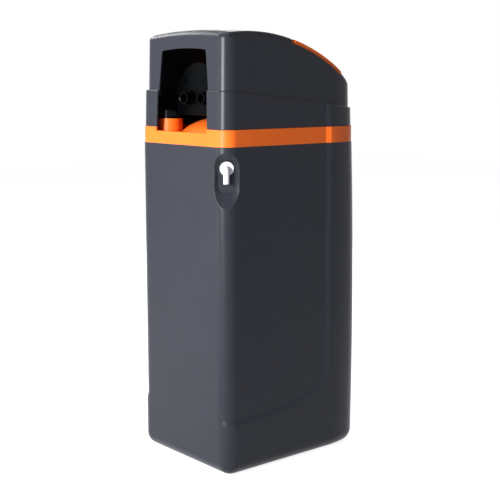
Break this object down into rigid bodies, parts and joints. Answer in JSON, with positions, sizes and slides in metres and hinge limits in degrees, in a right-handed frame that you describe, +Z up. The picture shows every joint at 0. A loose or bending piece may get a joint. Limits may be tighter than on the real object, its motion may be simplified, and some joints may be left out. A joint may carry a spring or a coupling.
{
  "type": "water softener",
  "caption": "Cabinet water softener: salt tank with coloured deck band, lift-off hood, hinged salt lid, rotary disc valve, resin vessel, brine well and overflow elbow.",
  "frame": {"origin": "bottom centre of the cabinet's bounding box, on the floor", "axes": "+Z up, -Y the front, +Y the rear with the plumbing opening, +X the right side seen from the rear's left: the overflow elbow is at -X, +Y"},
  "size_m": [0.38, 0.4999, 1.1341],
  "materials": {
    "anthracite": "fine moulded grain, satin",
    "orange": "smooth moulded, satin",
    "dark_panel": "smooth, semi-gloss",
    "black_plastic": "moulded, satin",
    "white_plastic": "smooth, glossy",
    "natural_plastic": "moulded, matte",
    "lens": "smoked, clear gloss",
    "screen": "display face",
    "button_rubber": "soft touch",
    "board": "solder mask",
    "steel": "zinc plated",
    "vessel": "wound fibre under resin",
    "ceramic": "lapped ceramic",
    "seal_rubber": "smooth",
    "gear_plastic": "moulded acetal",
    "motor_steel": "drawn can",
    "resin": "amber beads"
  },
  "bodies": {
    "cabinet": {"cabinet": "anthracite", "deck": "orange", "cover_ring": "anthracite", "ring_screws": "steel", "resin_tank": "vessel", "tank_boot": "black_plastic", "bottom_basket": "natural_plastic", "riser_tube": "natural_plastic", "top_basket": "natural_plastic", "resin_bed": "resin", "valve_body": "black_plastic", "neck_seal": "seal_rubber", "port_collars": "black_plastic", "fixed_disc": "ceramic", "bonnet": "black_plastic", "stem_seal": "seal_rubber", "gear_plate": "steel", "drive_motor": "motor_steel", "injector": "natural_plastic", "injector_cap": "black_plastic", "brine_fitting": "black_plastic", "brine_tube": "black_plastic", "brine_elbow": "black_plastic", "drain_elbow": "black_plastic", "drain_clip": "steel", "rear_plate": "black_plastic", "valve_cover": "black_plastic", "cover_screws": "steel", "drive_board": "board", "power_inlet": "black_plastic", "flow_straightener": "natural_plastic", "brine_well": "natural_plastic", "well_cap": "black_plastic", "float_guides": "natural_plastic", "pickup_tube": "natural_plastic", "air_check": "natural_plastic", "salt_grid": "natural_plastic", "overflow_elbow": "white_plastic", "overflow_gasket": "seal_rubber", "overflow_nut": "white_plastic"},
    "float": {"float": "white_plastic", "float_rod": "natural_plastic"},
    "drive": {"drive_gear": "gear_plastic", "rotor_disc": "ceramic"},
    "pinion": {"pinion": "gear_plastic"},
    "turbine": {"meter_turbine": "white_plastic"},
    "hood": {"hood": "anthracite", "top_panel": "dark_panel", "hinge_pins": "steel", "control_panel": "dark_panel", "display_window": "lens", "display": "screen", "control_board": "board", "control_housing": "black_plastic"},
    "salt_lid": {"salt_lid": "orange"},
    "button_1": {"button_1": "button_rubber"},
    "button_2": {"button_2": "button_rubber"},
    "button_3": {"button_3": "button_rubber"},
    "button_4": {"button_4": "button_rubber"}
  },
  "joints": [
    {"name": "hood_lift", "type": "slide", "parent": "cabinet", "child": "hood", "axis": [0, 0, 1], "range_m": [0, 0.25]},
    {"name": "lid_hinge", "type": "hinge", "parent": "hood", "child": "salt_lid", "pos_m": [0, 0.0065, 1.10944], "axis": [-1, 0, 0], "range_deg": [0, 115]},
    {"name": "float_slide", "type": "slide", "parent": "cabinet", "child": "float", "axis": [0, 0, 1], "range_m": [0, 0.06]},
    {"name": "drive_spin", "type": "hinge", "parent": "cabinet", "child": "drive", "pos_m": [0, 0.08, 1], "axis": [0, 0, 1], "continuous": true},
    {"name": "pinion_spin", "type": "hinge", "parent": "cabinet", "child": "pinion", "pos_m": [0, 0.035, 1], "axis": [0, 0, 1], "continuous": true},
    {"name": "turbine_spin", "type": "hinge", "parent": "cabinet", "child": "turbine", "pos_m": [-0.036, 0.172, 0.961], "axis": [0, 1, 0], "continuous": true},
    {"name": "button_1_press", "type": "slide", "parent": "hood", "child": "button_1", "axis": [0, 0, -1], "range_m": [0, 0.001], "stiffness_N_per_m": 400},
    {"name": "button_2_press", "type": "slide", "parent": "hood", "child": "button_2", "axis": [0, 0, -1], "range_m": [0, 0.001], "stiffness_N_per_m": 400},
    {"name": "button_3_press", "type": "slide", "parent": "hood", "child": "button_3", "axis": [0, 0, -1], "range_m": [0, 0.001], "stiffness_N_per_m": 400},
    {"name": "button_4_press", "type": "slide", "parent": "hood", "child": "button_4", "axis": [0, 0, -1], "range_m": [0, 0.001], "stiffness_N_per_m": 400}
  ],
  "couplings": [
    {"joint": "pinion_spin", "follows": "drive_spin", "ratio": -4}
  ]
}
